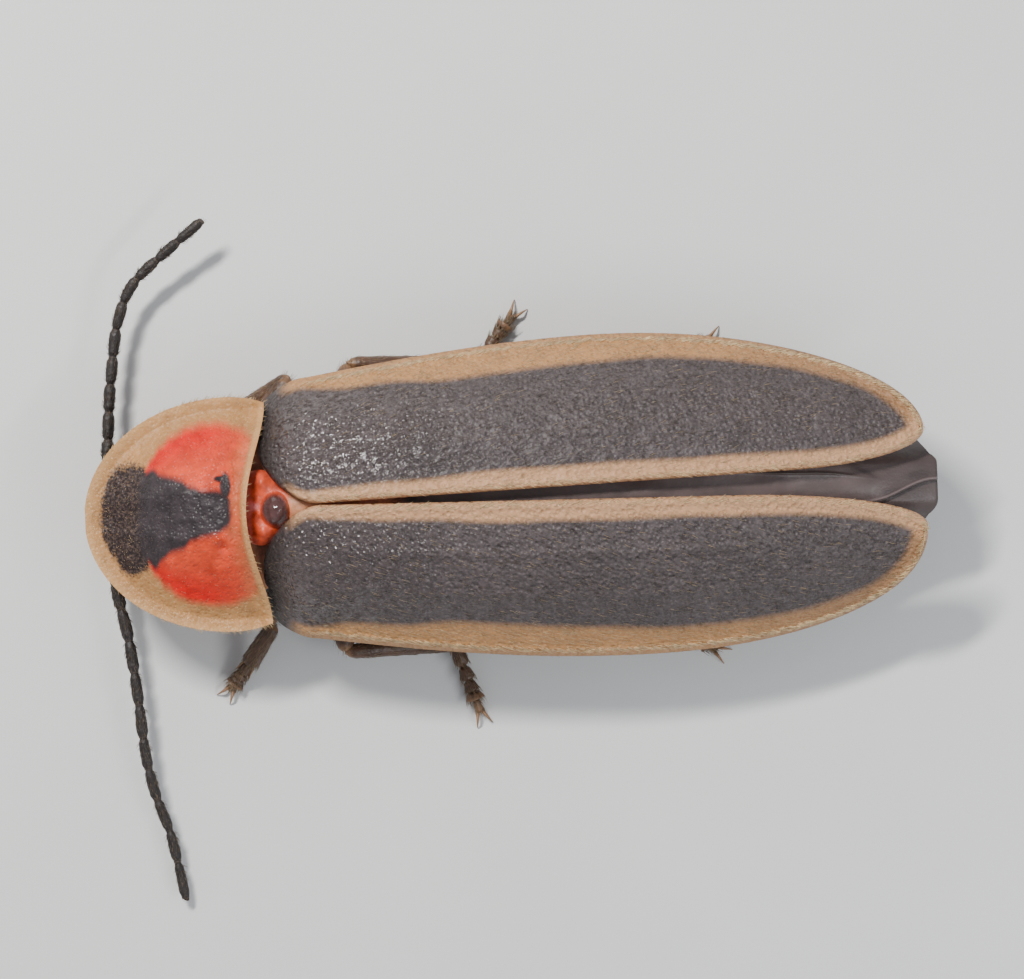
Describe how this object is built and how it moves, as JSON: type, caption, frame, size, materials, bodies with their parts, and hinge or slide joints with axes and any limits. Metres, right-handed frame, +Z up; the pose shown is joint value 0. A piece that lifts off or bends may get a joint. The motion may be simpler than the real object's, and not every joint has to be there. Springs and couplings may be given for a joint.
{
  "type": "firefly",
  "caption": "Small firefly at rest, wings folded under dark cases, on its belly and feet, with a broad pale-edged shield over the head and long jointed feelers.",
  "frame": {"origin": "centre of the belly's resting flat, on the floor under the widest place of the wing cases", "axes": "+X towards the tail, so the head points along -X; +Y towards the animal's right side; +Z up from the floor"},
  "size_m": [0.0073, 0.0059, 0.0017],
  "materials": {
    "wing_case": "charcoal brown, finely pitted, satin, with tan margins",
    "shield": "tan margin, orange-red sides and a black middle mark, satin",
    "scutellum": "red-brown with a tan tip, satin",
    "wing": "dusky folded membrane with raised veins, soft sheen",
    "trunk": "dark brown, finely haired, satin",
    "lantern": "pale yellow, waxy",
    "head": "dark brown, finely haired, satin",
    "eye": "black, faceted, glossy",
    "antenna": "black-brown, finely haired, matt",
    "leg": "brown, paler at the joints and claws, finely haired"
  },
  "bodies": {
    "root": {"pronotum": "shield", "scutellum": "scutellum", "thorax": "trunk", "abdomen": "trunk", "lantern": "lantern", "abdomen_tip": "trunk", "wing_case_left": "wing_case", "wing_case_right": "wing_case", "hind_wing_left": "wing", "hind_wing_right": "wing", "head": "head", "eye_left": "eye", "eye_right": "eye", "antenna_left": "antenna", "antenna_right": "antenna", "leg_front_left": "leg", "leg_front_right": "leg", "leg_middle_left": "leg", "leg_middle_right": "leg", "leg_hind_left": "leg", "leg_hind_right": "leg"}
  },
  "joints": []
}
